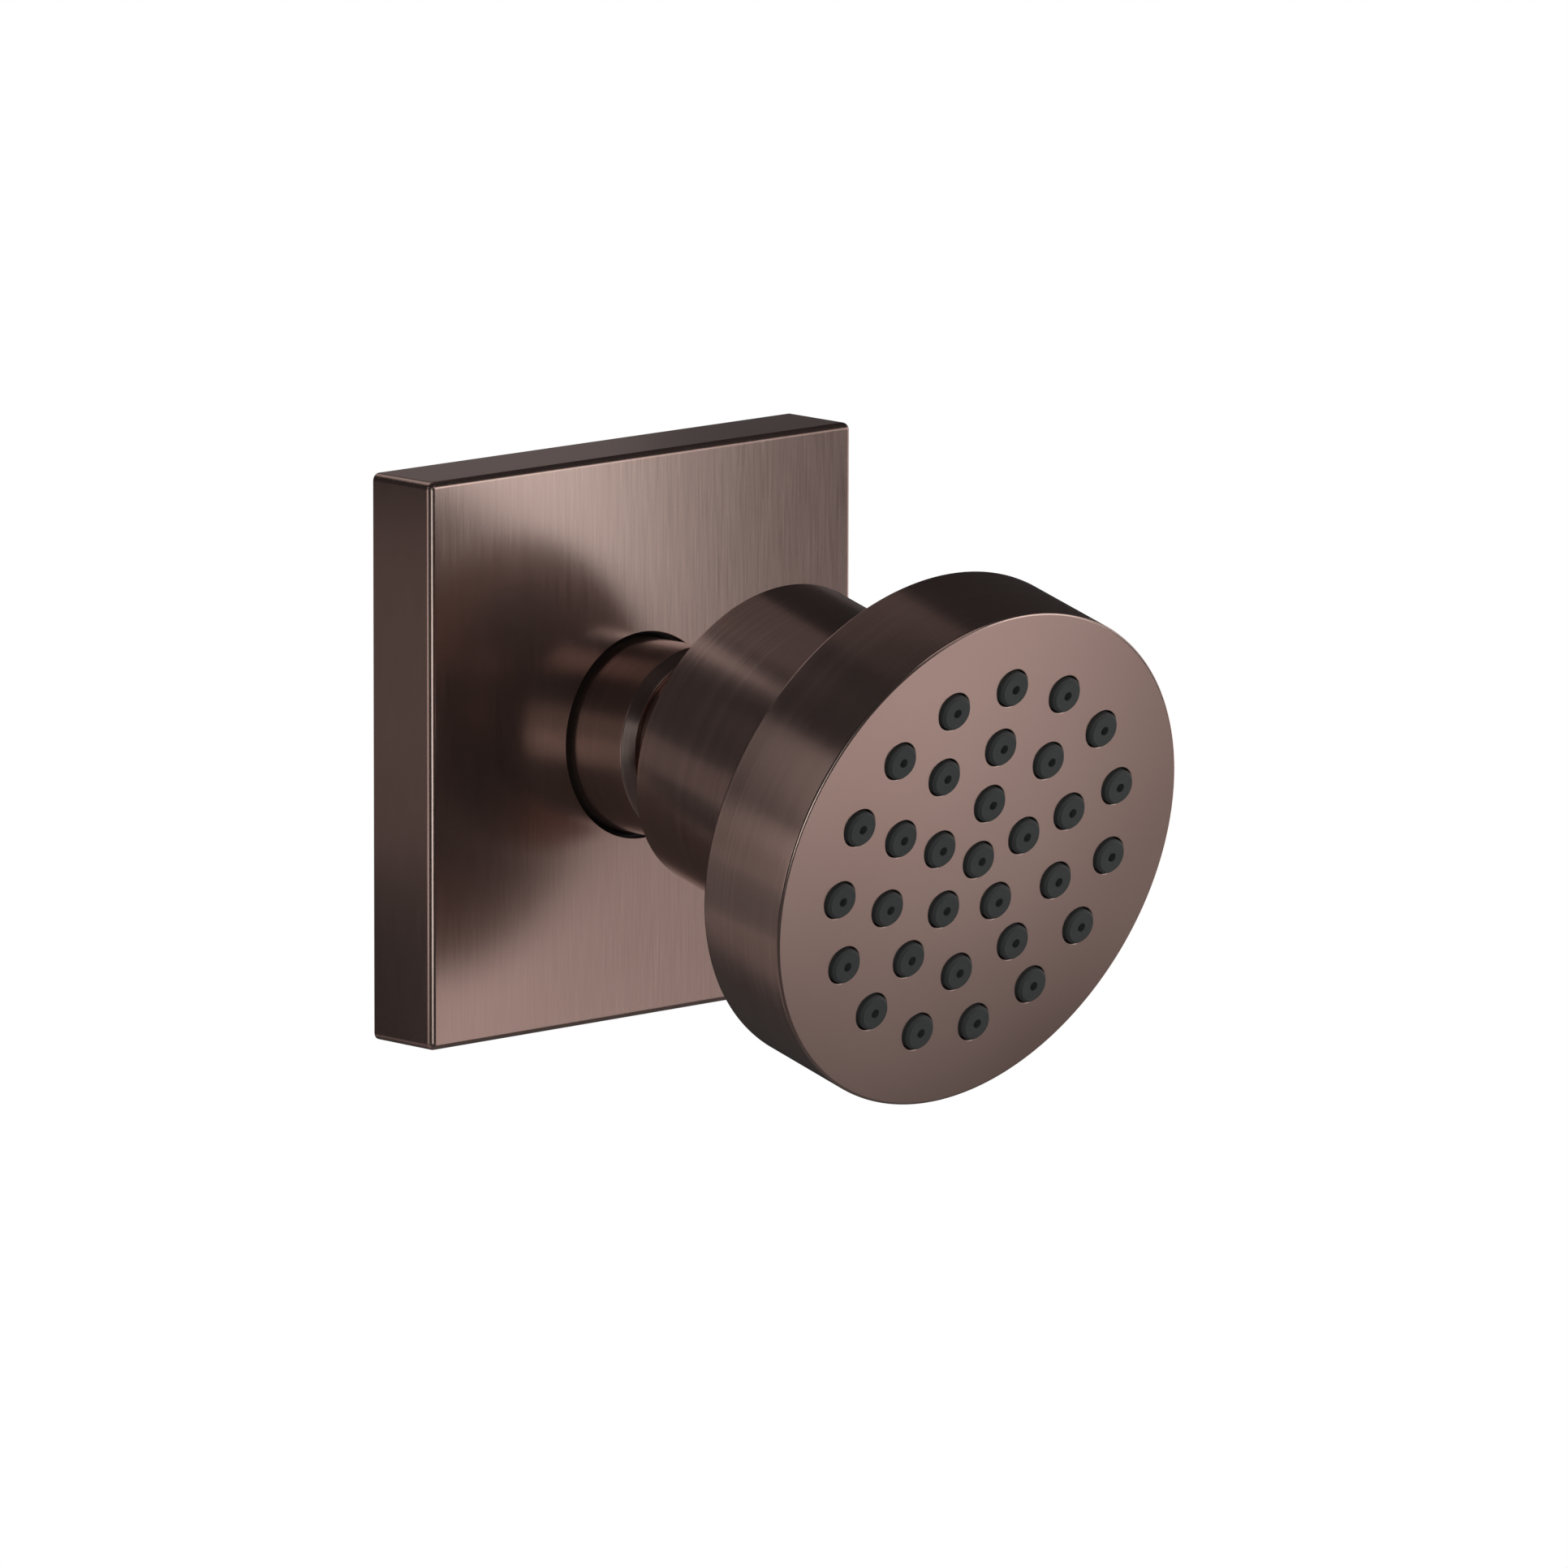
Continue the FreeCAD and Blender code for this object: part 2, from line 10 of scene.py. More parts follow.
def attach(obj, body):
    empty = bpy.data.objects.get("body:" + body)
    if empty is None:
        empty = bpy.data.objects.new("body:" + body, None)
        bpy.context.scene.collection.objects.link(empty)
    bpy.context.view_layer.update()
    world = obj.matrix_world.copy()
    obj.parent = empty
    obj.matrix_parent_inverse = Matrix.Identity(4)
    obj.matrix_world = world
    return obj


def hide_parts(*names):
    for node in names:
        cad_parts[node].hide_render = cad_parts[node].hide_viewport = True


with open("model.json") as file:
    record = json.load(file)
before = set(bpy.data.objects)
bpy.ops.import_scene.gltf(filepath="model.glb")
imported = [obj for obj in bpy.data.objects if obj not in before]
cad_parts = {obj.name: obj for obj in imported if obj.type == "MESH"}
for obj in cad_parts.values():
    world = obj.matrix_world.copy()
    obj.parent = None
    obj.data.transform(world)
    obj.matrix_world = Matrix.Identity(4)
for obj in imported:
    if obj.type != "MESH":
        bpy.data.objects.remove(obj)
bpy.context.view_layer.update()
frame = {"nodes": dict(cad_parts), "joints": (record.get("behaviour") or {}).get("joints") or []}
nodes = frame["nodes"]
MM = 0.001


# The view. The photograph was taken from the left, a little above the head, with a very
# long lens, so the camera stands two metres off and looks just beside the ball joint.

camera_distance = 2.0654
camera_left = 43.1059
camera_above = 10.0123
camera_roll = 0.0745
camera_lens = 455.886
camera_aim = Vector((-2.624, -33.368, -1.752)) * MM

level = math.cos(math.radians(camera_above))
towards_camera = Vector((
    -math.sin(math.radians(camera_left)) * level,
    -math.cos(math.radians(camera_left)) * level,
    math.sin(math.radians(camera_above))))
camera_data = bpy.data.cameras.new("camera")
camera_data.lens = camera_lens
camera_data.clip_start = 0.05
camera_data.clip_end = 50.0
camera = bpy.data.objects.new("camera", camera_data)
bpy.context.scene.collection.objects.link(camera)
camera.location = camera_aim + towards_camera * camera_distance
turn = (-towards_camera).to_track_quat("-Z", "Y").to_matrix()
turn = turn @ Matrix.Rotation(math.radians(camera_roll), 3, "Z")
camera.rotation_euler = turn.to_euler()
bpy.context.scene.camera = camera
bpy.context.scene.view_settings.view_transform = "Standard"


# The spray shell: a cup turned from brass, 55 mm across, with a flat face pierced for the
# nozzles. Its dark bronze is brushed round the side and smooth on the face.

shell_radius = 27.5
shell_thickness = 11.65
shell_wall = 1.6
shell_front = 1.5
shell_edge = 0.3
face_height = 25.4
fine_edge = 0.05
flat_band = 1.0
hole_radius = 2.05
hole_edge = 0.12
shell_sides = 360
hole_sides = 64
nozzle_rings = ((1, 0.0), (5, 6.3), (10, 12.6), (15, 19.25))
bronze_dark = (0.303, 0.196, 0.169, 1.0)
bronze_light = (0.455, 0.317, 0.282, 1.0)
bronze_roughness = 0.19
stroke_roughness = 0.06
stroke_tone = 0.8
stroke_depth = 0.0003
cloud_tone = 0.2
cloud_marks = 0.07


class Skin:
    """The surface of one piece in its own millimetres, gathered as points, normals and faces.

    Its height runs along the piece's axis. Every line on it is walked with the outside on
    the right hand, and every loop runs anticlockwise seen from the top.
    """

    def __init__(self):
        self.points = np.empty((0, 3))
        self.normals = np.empty((0, 3))
        self.faces = []

    def gather(self, points, normals):
        first = len(self.points)
        self.points = np.concatenate([self.points, points])
        self.normals = np.concatenate([self.normals, normals])
        return first

    def carry(self, line, loop):
        """Carry a line of (size, height) points round a loop, and give its end loops.

        With c the loop's corner centres and d its directions, a point lies at c + (size - s) d,
        and its normal leans along d and rises along the axis as the line's own normal does.
        """
        (spots, outward), (centres, directions, straight) = line, loop
        rows, columns = len(spots), len(directions)
        flat = centres + (spots[:, :1, None] - straight) * directions
        high = np.broadcast_to(spots[:, 1:, None], (rows, columns, 1))
        leaning = outward[:, :1, None] * directions
        rising = np.broadcast_to(outward[:, 1:, None], (rows, columns, 1))
        points = np.concatenate([flat, high], -1).reshape(-1, 3)
        normals = np.concatenate([leaning, rising], -1).reshape(-1, 3)
        first = self.gather(points, normals)
        return self.join(first, rows, columns)

    def join(self, first, rows, columns):
        """Four-sided faces between the rows of a grid whose columns close on themselves."""
        row = np.arange(rows - 1)[:, None] * columns + first
        column = np.arange(columns)[None]
        beside = (column + 1) % columns
        corners = (row + column, row + beside, row + columns + beside, row + columns + column)
        self.faces += np.stack(corners, -1).reshape(-1, 4).tolist()
        bottom = first + np.arange(columns)
        return bottom, bottom + (rows - 1) * columns

    def fill(self, outer, holes=(), up=True):
        """Flat triangles between a loop and the loops inside it.

        A triangle whose corners all lie on one inner loop covers that hole, so it is left out.
        """
        loops = [outer, *holes]
        members = np.concatenate(loops)
        owner = np.repeat(np.arange(len(loops)), [len(loop) for loop in loops])
        flat = self.points[members, :2]
        edges = []
        for number in range(len(loops)):
            index = np.flatnonzero(owner == number)
            edges += np.stack([index, np.roll(index, -1)], 1).tolist()
        found = delaunay_2d_cdt([Vector(spot) for spot in flat], edges, [], 1, 1e-7)
        triangles = np.array([origins[0] for origins in found[3]])[np.array(found[2])]
        first_owner = owner[triangles[:, 0]]
        in_hole = (owner[triangles] == first_owner[:, None]).all(1) & (first_owner > 0)
        triangles = triangles[~in_hole]
        a, b, c = (flat[triangles[:, corner]] for corner in range(3))
        turning = (b - a)[:, 0] * (c - a)[:, 1] - (b - a)[:, 1] * (c - a)[:, 0]
        triangles[(turning < 0) == up] = triangles[(turning < 0) == up][:, ::-1]
        facing = np.tile((0.0, 0.0, 1.0 if up else -1.0), (len(members), 1))
        first = self.gather(self.points[members], facing)
        self.faces += (triangles + first).tolist()

    def finish(self, name, place, body, slot, *stands_for):
        """Make the piece: carried to its place, riding on its body, with its exact normals."""
        start, *axes = (np.array(part) for part in place)
        mesh = bpy.data.meshes.new(name)
        mesh.from_pydata((self.points @ np.array(axes) * MM + start).tolist(), [], self.faces)
        mesh.polygons.foreach_set("use_smooth", [True] * len(mesh.polygons))
        mesh.normals_split_custom_set_from_vertices((self.normals @ np.array(axes)).tolist())
        piece = bpy.data.objects.new(name, mesh)
        bpy.context.scene.collection.objects.link(piece)
        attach(piece, body)
        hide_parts(*stands_for)
        return piece


def circle(sides, centre=(0.0, 0.0)):
    """A round loop: its centres, its directions, and no straight part."""
    angle = np.linspace(0, 2 * math.pi, sides, endpoint=False)
    return np.array([centre]), np.stack([np.cos(angle), np.sin(angle)], 1), 0.0


def rounded(*corners, steps=6):
    """A line through corners of (size, height, round), as points and outward directions.

    Each corner between the ends is cut by an arc of its round, tangent to both runs. The
    outward direction is the direction of travel, turned a quarter turn clockwise.
    """
    spots = np.array([corner[:2] for corner in corners], float)
    runs = np.diff(spots, axis=0)
    runs /= np.hypot(*runs.T)[:, None]
    right = np.stack([runs[:, 1], -runs[:, 0]], 1)
    points = [spots[:1]]
    outward = [right[:1]]
    for index in range(1, len(corners) - 1):
        before, after = runs[index - 1], runs[index]
        bend = math.atan2(before[0] * after[1] - before[1] * after[0], before @ after)
        start = math.atan2(right[index - 1][1], right[index - 1][0])
        angles = start + bend * np.linspace(0, 1, steps + 1)
        directions = np.stack([np.cos(angles), np.sin(angles)], 1)
        reach = math.copysign(corners[index][2], bend)
        centre = spots[index] - before * abs(reach * math.tan(bend / 2)) - reach * directions[0]
        points.append(centre + reach * directions)
        outward.append(directions)
    points.append(spots[-1:])
    outward.append(right[-1:])
    return np.concatenate(points), np.concatenate(outward)


def ring_places(count, radius, first_angle=90.0):
    """Even (x, y) places on a circle."""
    angle = math.radians(first_angle) + 2 * math.pi * np.arange(count) / count
    return np.stack([radius * np.cos(angle), radius * np.sin(angle)], 1)


class Reading:
    """A value in a material. Sums written on it add the Math nodes that they need."""

    def __init__(self, paint, socket):
        self.paint = paint
        self.socket = socket

    def work(self, operation, first, second):
        return self.paint.add("ShaderNodeMath", {"operation": operation}, {0: first, 1: second})

    def __add__(self, other):
        return self.work("ADD", self, other)

    def __radd__(self, other):
        return self.work("ADD", other, self)

    def __sub__(self, other):
        return self.work("SUBTRACT", self, other)

    def __rsub__(self, other):
        return self.work("SUBTRACT", other, self)

    def __mul__(self, other):
        return self.work("MULTIPLY", self, other)

    def __rmul__(self, other):
        return self.work("MULTIPLY", other, self)


class Paint:
    """One material: its constant settings, and what varies over the surface."""

    def __init__(self, name, **constants):
        self.material = bpy.data.materials.new(name)
        self.material.use_nodes = True
        self.tree = self.material.node_tree
        self.surface = self.tree.nodes["Principled BSDF"]
        for socket, value in constants.items():
            self.surface.inputs[socket.replace("_", " ")].default_value = value

    def add(self, kind, settings=None, inputs=None, output=0):
        """Any node: its settings, then the values or readings for its sockets."""
        node = self.tree.nodes.new(kind)
        for setting, value in (settings or {}).items():
            setattr(node, setting, value)
        for socket, value in (inputs or {}).items():
            if isinstance(value, Reading):
                self.tree.links.new(value.socket, node.inputs[socket])
            else:
                node.inputs[socket].default_value = value
        return Reading(self, node.outputs[output])

    def feed(self, socket, reading):
        self.tree.links.new(reading.socket, self.surface.inputs[socket])

    def strokes(self, place, across, up, along, detail=3.0):
        """Noise from 0 to 1, by its marks in a millimetre along the three axes of a place."""
        start, *axes = place
        back = Matrix(axes)
        spot = self.add("ShaderNodeTexCoord", output=3)
        own = self.add("ShaderNodeMapping", None, {
            0: spot, "Location": -(back @ start), "Rotation": back.to_euler()})
        drawn = self.add("ShaderNodeVectorMath", {"operation": "MULTIPLY"}, {
            0: own, 1: (across / MM, up / MM, along / MM)})
        return self.add("ShaderNodeTexNoise", None, {
            "Vector": drawn, "Scale": 1.0, "Detail": detail, "Roughness": 0.6})

    def blend(self, share, first, second):
        """A colour between two."""
        return self.add("ShaderNodeMix", {"data_type": "RGBA"}, {0: share, 6: first, 7: second}, 2)

    def relief(self, height, depth):
        """Roughen the surface by a height from 0 to 1, times a depth in millimetres."""
        bump = self.add("ShaderNodeBump", None, {
            "Strength": 1.0, "Distance": depth * MM, "Height": height})
        self.feed("Normal", bump)

    def put_on(self, *pieces):
        for piece in pieces:
            piece.data.materials.clear()
            piece.data.materials.append(self.material)


def brushed_bronze(name, place, across, up, along):
    """Dark bronze coat over brushed brass: the strokes show in colour, gloss and relief."""
    paint = Paint(name, Metallic=0.85, Coat_Weight=0.2, Coat_Roughness=0.4)
    strokes = paint.strokes(place, across, up, along, 1.0)
    clouds = paint.strokes(place, cloud_marks, cloud_marks, cloud_marks, 1.0)
    share = (strokes - 0.5) * stroke_tone + (clouds - 0.5) * cloud_tone + 0.5
    paint.feed("Base Color", paint.blend(share, bronze_dark, bronze_light))
    paint.feed("Roughness", strokes * stroke_roughness + bronze_roughness)
    paint.relief(strokes, stroke_depth)
    return paint


spin = next(joint for joint in frame["joints"] if joint["name"] == "head_spin")
ball_centre = Vector(spin["pos_m"])
forward = Vector(spin["axis"]).normalized()
right = Vector((1.0, 0.0, 0.0))
head_place = (ball_centre, right, forward.cross(right), forward)

shell_back = face_height - shell_thickness
shell_inside = shell_radius - shell_wall
mat_front = face_height - shell_front
nozzle_places = np.concatenate([ring_places(count, radius) for count, radius in nozzle_rings])
shell = Skin()
bottom, rim = shell.carry(rounded(
    (shell_inside - flat_band, mat_front, 0.0),
    (shell_inside, mat_front, fine_edge),
    (shell_inside, shell_back, fine_edge),
    (shell_radius, shell_back, shell_edge),
    (shell_radius, face_height, shell_edge),
    (shell_radius - flat_band, face_height, 0.0)), circle(shell_sides))
hole_line = rounded(
    (hole_radius + 2 * hole_edge, face_height, 0.0),
    (hole_radius, face_height, hole_edge),
    (hole_radius, mat_front, 0.0), steps=4)
holes = [shell.carry(hole_line, circle(hole_sides, place)) for place in nozzle_places]
shell.fill(rim, [front for front, back in holes])
shell.fill(bottom, [back for front, back in holes], up=False)
shell_piece = shell.finish("spray_shell_turned", head_place, "head", "bronze", "spray_shell")
brushed_bronze("bronze, spray shell", head_place, 0.03, 0.03, 3.0).put_on(shell_piece)


# The nozzle mat: one black rubber mat with thirty-one nozzles. Each has a flat tip with a
# broken edge, and a fine jet that widens behind it.

mat_play = 0.2
mat_thickness = 1.8
tip_radius = 1.9
tip_bevel = 0.28
tip_stand = 0.6
tip_edge = 0.06
nozzle_foot = 0.2
nozzle_foot_edge = 0.08
jet_radius = 0.48
jet_length = 1.4
jet_inlet_radius = 1.1
mat_sides = 96
nozzle_sides = 48
nozzle_dark = (0.073, 0.072, 0.071, 1.0)
nozzle_worn = (0.091, 0.090, 0.089, 1.0)
nozzle_roughness = 0.65
bloom_marks = 0.8
bloom_roughness = 0.1
bloom_depth = 0.01

chamber_radius = shell_inside - mat_play
tip = face_height + tip_stand
mat_back = mat_front - mat_thickness
widening = tip - jet_length + jet_inlet_radius - jet_radius
mat = Skin()
bottom, rim = mat.carry(rounded(
    (chamber_radius - flat_band, mat_back, 0.0),
    (chamber_radius, mat_back, fine_edge),
    (chamber_radius, mat_front, fine_edge),
    (chamber_radius - flat_band, mat_front, 0.0)), circle(mat_sides))
nozzle_line = rounded(
    (tip_radius + nozzle_foot, mat_front, 0.0),
    (tip_radius, mat_front, nozzle_foot_edge),
    (tip_radius, tip - tip_bevel, nozzle_foot_edge),
    (tip_radius - tip_bevel, tip, tip_edge),
    (jet_radius, tip, fine_edge),
    (jet_radius, widening, fine_edge),
    (jet_inlet_radius, tip - jet_length, fine_edge),
    (jet_inlet_radius, mat_back, 0.0), steps=3)
nozzles = [mat.carry(nozzle_line, circle(nozzle_sides, place)) for place in nozzle_places]
mat.fill(rim, [front for front, back in nozzles])
mat.fill(bottom, [back for front, back in nozzles], up=False)
mat_piece = mat.finish("nozzle_mat_moulded", head_place, "head", "nozzle_rubber", "nozzle_mat")


def soft_rubber(name, dark, worn, roughness):
    """Dull rubber with a faint bloom."""
    paint = Paint(name, Specular_IOR_Level=0.25)
    bloom = paint.strokes(head_place, bloom_marks, bloom_marks, bloom_marks)
    paint.feed("Base Color", paint.blend(bloom, dark, worn))
    paint.feed("Roughness", bloom * bloom_roughness + roughness)
    paint.relief(bloom, bloom_depth)
    return paint


soft_rubber("nozzle rubber", nozzle_dark, nozzle_worn, nozzle_roughness).put_on(mat_piece)


# The swivel housing: a turned ring 34 mm across, brushed round, whose flange screws into
# the shell. Its mouth leaves the stud's neck room to swing, and its rear seat is a sphere.

housing_radius = 17.0
housing_rear = 9.0
housing_edge = 0.25
flange_play = 0.1
flange_thickness = 3.0
mouth_radius = 11.10
seat_sphere = 11.8
seat_edge = 58.44
seat_bore_radius = 13.15
seat_bore_back = 2.2
groove_radius = 23.9
groove_width = 1.8
groove_depth = 1.6
screw_hole_radius = 1.3
screw_hole_depth = 2.4
screw_ring_radius = 16.0
screw_count = 5
first_screw = 30.0
screw_hole_sides = 32
seat_sides = 240
housing_sides = 360


def arc(centre, radius, start, end, hollow=False, steps=24):
    """Part of a circle in (size, height), with its angles from the size axis.

    A hollow one has the outside on its centre's side.
    """
    angles = np.radians(np.linspace(start, end, steps + 1))
    directions = np.stack([np.cos(angles), np.sin(angles)], 1)
    return np.array(centre) + radius * directions, -directions if hollow else directions


flange_radius = shell_inside - flange_play
flange_front = shell_back + flange_thickness
seat_end = (seat_sphere * math.sin(math.radians(seat_edge)),
            -seat_sphere * math.cos(math.radians(seat_edge)))
housing = Skin()
bore, _ = housing.carry(rounded(
    (seat_bore_radius, flange_front, 0.0),
    (seat_bore_radius, seat_bore_back, fine_edge),
    (seat_sphere, seat_bore_back, fine_edge),
    (seat_sphere, 0.0, 0.0)), circle(seat_sides))
housing.carry(arc((0.0, 0.0), seat_sphere, 0.0, seat_edge - 90.0, hollow=True), circle(seat_sides))
_, groove = housing.carry(rounded(
    (*seat_end, 0.0),
    (mouth_radius, -housing_rear, housing_edge),
    (housing_radius, -housing_rear, housing_edge),
    (housing_radius, shell_back, housing_edge),
    (flange_radius, shell_back, fine_edge),
    (flange_radius, flange_front, fine_edge),
    (groove_radius + groove_width / 2, flange_front, fine_edge),
    (groove_radius + groove_width / 2, flange_front - groove_depth, fine_edge),
    (groove_radius - groove_width / 2, flange_front - groove_depth, fine_edge),
    (groove_radius - groove_width / 2, flange_front, 0.0)), circle(housing_sides))
screw_holes = []
for place in ring_places(screw_count, screw_ring_radius, first_screw):
    around_screw = circle(screw_hole_sides, place)
    front, back = housing.carry(rounded(
        (screw_hole_radius, flange_front, 0.0),
        (screw_hole_radius, flange_front - screw_hole_depth, 0.0)), around_screw)
    housing.fill(back)
    screw_holes.append(front)
housing.fill(groove, [bore, *screw_holes])
housing_piece = housing.finish(
    "swivel_housing_turned", head_place, "head", "bronze", "swivel_housing")
turned_bronze = brushed_bronze("bronze, head turned", head_place, 0.03, 0.03, 4.0)
turned_bronze.put_on(housing_piece)


# The ball stud: a spigot in the collar, a shoulder, a neck that flares into it, and a ball
# with a flat front, a hexagon socket and a bore. The neck and ball are bronze like the rest.

broken_edge = 0.1
stud_thread_radius = 6.8
stud_back = 13.1
stud_groove = (13.65, 15.15)
stud_groove_radius = 5.45
stud_bore_radius = 3.5
stud_key_flat = 4.0
stud_key_depth = 5.0
shoulder_radius = 8.75
shoulder_height = 1.2
neck_radius = 6.0
flare_length = 5.3
ball_radius = 10.5
ball_flat = 8.2
stud_sides = 180
collar_end = 17.7
wall_place = (Vector((0.0, 0.0, 0.0)), right, Vector((0.0, 0.0, 1.0)), Vector((0.0, -1.0, 0.0)))


def polygon(corners, flat, edge, steps=4):
    """A loop with rounded corners, by how far its flats lie out and the round of its corners."""
    angle = 2 * math.pi / corners
    turn = np.linspace(0, angle, steps + 1) + angle * np.arange(corners)[:, None]
    middle = np.repeat(angle * (np.arange(corners) + 0.5), steps + 1)
    reach = (flat - edge) / math.cos(angle / 2)
    centres = reach * np.stack([np.cos(middle), np.sin(middle)], 1)
    turn = turn.ravel()
    return centres, np.stack([np.cos(turn), np.sin(turn)], 1), flat - edge


ball_out = -ball_centre.y / MM
ball_front = ball_out + ball_flat
neck_angle = math.degrees(math.acos(neck_radius / ball_radius))
flat_angle = math.degrees(math.asin(ball_flat / ball_radius))
shoulder_top = collar_end + shoulder_height
flare_drop = shoulder_radius - neck_radius
flare_radius = (flare_length ** 2 + flare_drop ** 2) / (2 * flare_drop)
flare_sweep = math.degrees(math.asin(flare_length / flare_radius))
flare_centre = (neck_radius + flare_radius, shoulder_top + flare_length)
around = circle(stud_sides)
stud = Skin()
stud.carry(rounded(
    (stud_bore_radius, stud_back, 0.0),
    (stud_thread_radius, stud_back, broken_edge),
    (stud_thread_radius, stud_groove[0], fine_edge),
    (stud_groove_radius, stud_groove[0], fine_edge),
    (stud_groove_radius, stud_groove[1], fine_edge),
    (stud_thread_radius, stud_groove[1], fine_edge),
    (stud_thread_radius, collar_end, broken_edge),
    (shoulder_radius, collar_end, broken_edge),
    (shoulder_radius, shoulder_top, 0.0)), around)
stud.carry(arc(flare_centre, flare_radius, 180.0 + flare_sweep, 180.0, hollow=True), around)
stud.carry(rounded(
    (neck_radius, shoulder_top + flare_length, 0.0),
    (neck_radius, ball_out - math.sqrt(ball_radius ** 2 - neck_radius ** 2), 0.0)), around)
_, rim = stud.carry(
    arc((0.0, ball_out), ball_radius, -neck_angle, flat_angle, steps=64), around)
socket, socket_floor = stud.carry(rounded(
    (stud_key_flat, ball_front, 0.0),
    (stud_key_flat, ball_front - stud_key_depth, 0.0)), polygon(6, stud_key_flat, broken_edge))
bore, _ = stud.carry(rounded(
    (stud_bore_radius, ball_front - stud_key_depth, 0.0),
    (stud_bore_radius, stud_back, 0.0)), around)
stud.fill(rim, [socket])
stud.fill(socket_floor, [bore])
stud_piece = stud.finish("ball_stud_turned", wall_place, "inlet", "bronze", "ball_stud")
turned_out = brushed_bronze("bronze, turned", wall_place, 0.03, 0.03, 4.0)
turned_out.put_on(stud_piece)


# The joint collar: a sleeve 20.6 mm across that stands out of the plate, with a bevelled
# front. It screws on the inlet behind and takes the ball stud in front.

collar_radius = 10.3
collar_bevel = 1.1
collar_edge = 0.25
collar_back = 4.6
collar_step = 12.4
collar_bore_radius = 8.6
collar_front_bore = 6.9
collar_sides = 360

collar = Skin()
collar.carry(rounded(
    (collar_front_bore, collar_end - flat_band, 0.0),
    (collar_front_bore, collar_step, fine_edge),
    (collar_bore_radius, collar_step, fine_edge),
    (collar_bore_radius, collar_back, fine_edge),
    (collar_radius, collar_back, broken_edge),
    (collar_radius, collar_end - collar_bevel, collar_edge),
    (collar_radius - collar_bevel, collar_end, collar_edge),
    (collar_front_bore, collar_end, broken_edge),
    (collar_front_bore, collar_end - flat_band, 0.0)), circle(collar_sides))
collar_piece = collar.finish("joint_collar_turned", wall_place, "inlet", "bronze", "joint_collar")
turned_out.put_on(collar_piece)


# The wall plate: a square cover 60 mm wide with a hollow back, a ledge for the gasket, and
# a hub that is grooved for a soft ring. Its front is brushed upwards.

plate_half = 30.0
plate_depth = 8.9
plate_edge = 0.7
plate_front_band = 0.02
plate_corner = 0.8
plate_wall = 1.7
plate_front = 1.8
plate_ledge = 1.3
plate_inner_corner = 2.0
gasket_thickness = 2.0
plate_hole_radius = 10.94
plate_hole_edge = 0.08
plate_hole_band = 0.3
hub_radius = 13.34
hub_back = 5.1
hub_groove_radius = 11.95
hub_groove = (6.3, 8.0)
plate_hole_sides = 300
corner_steps = 8

pocket_half = plate_half - plate_wall
inner_half = pocket_half - plate_ledge
inner_height = plate_depth - plate_front
plate = Skin()
back, front = plate.carry(rounded(
    (plate_half, 0.0, 0.0),
    (plate_half, plate_depth, plate_edge),
    (plate_half - plate_edge - plate_front_band, plate_depth, 0.0), steps=corner_steps),
    polygon(4, plate_half, plate_corner, corner_steps))
ledge, pocket = plate.carry(rounded(
    (pocket_half, gasket_thickness, 0.0),
    (pocket_half, 0.0, 0.0)), polygon(4, pocket_half, plate_inner_corner, corner_steps))
ceiling, inner = plate.carry(rounded(
    (inner_half, inner_height, 0.0),
    (inner_half, gasket_thickness, 0.0)), polygon(4, inner_half, plate_inner_corner, corner_steps))
hole, hub = plate.carry(rounded(
    (plate_hole_radius + plate_hole_band, plate_depth, 0.0),
    (plate_hole_radius, plate_depth, plate_hole_edge),
    (plate_hole_radius, hub_groove[1], fine_edge),
    (hub_groove_radius, hub_groove[1], fine_edge),
    (hub_groove_radius, hub_groove[0], fine_edge),
    (plate_hole_radius, hub_groove[0], fine_edge),
    (plate_hole_radius, hub_back, broken_edge),
    (hub_radius, hub_back, broken_edge),
    (hub_radius, inner_height, 0.0)), circle(plate_hole_sides))
plate.fill(front, [hole])
plate.fill(ceiling, [hub], up=False)
plate.fill(ledge, [inner], up=False)
plate.fill(back, [pocket], up=False)
plate_piece = plate.finish("wall_plate_pressed", wall_place, "plate", "bronze", "wall_plate")
brushed_bronze("bronze, plate", wall_place, 7.0, 0.15, 7.0).put_on(plate_piece)


# The inlet nipple: bare turned brass with a half-inch pipe thread, 20.955 mm across and 14
# turns to the inch, then a relief for the washer, a hexagon and a spigot.

thread_radius = 10.4775
thread_pitch = 1.814
thread_depth_share = 0.6403
thread_length = 14.0
thread_chamfer = 0.3
chamfer_slope = 1.2
inlet_edge = 0.2
relief_radius = 9.3
relief_edge = 0.005
washer_thickness = 1.5
hex_flat = 12.0
hex_front = 4.6
hex_edge = 0.3
hex_corner = 0.8
spigot_radius = 8.5
spigot_end = 12.0
spigot_band = 0.5
spigot_groove = (9.95, 11.45)
spigot_groove_radius = 7.15
key_flat = 5.0
seat_radius = 7.6
seat_height = -8.0
regulator_radius = 6.5
regulator_height = -2.5
nipple_sides = 180
thread_rows = 211
brass_colour = (0.78, 0.56, 0.27, 1.0)
brass_tarnish = (0.62, 0.42, 0.19, 1.0)
turning_marks = (0.1, 0.1, 7.0)
turning_roughness = 0.15
turning_depth = 0.003

thread_root = thread_radius - thread_depth_share * thread_pitch
nipple = Skin()
key, key_end = nipple.carry(rounded(
    (key_flat, spigot_end, 0.0),
    (key_flat, regulator_height, 0.0)), polygon(6, key_flat, broken_edge))
bore, _ = nipple.carry(rounded(
    (regulator_radius, regulator_height, 0.0),
    (regulator_radius, seat_height, fine_edge),
    (seat_radius, seat_height, fine_edge),
    (seat_radius, -thread_length, inlet_edge),
    (thread_root - thread_chamfer, -thread_length, 0.0)), circle(nipple_sides))
nipple.fill(bore, [key_end], up=False)

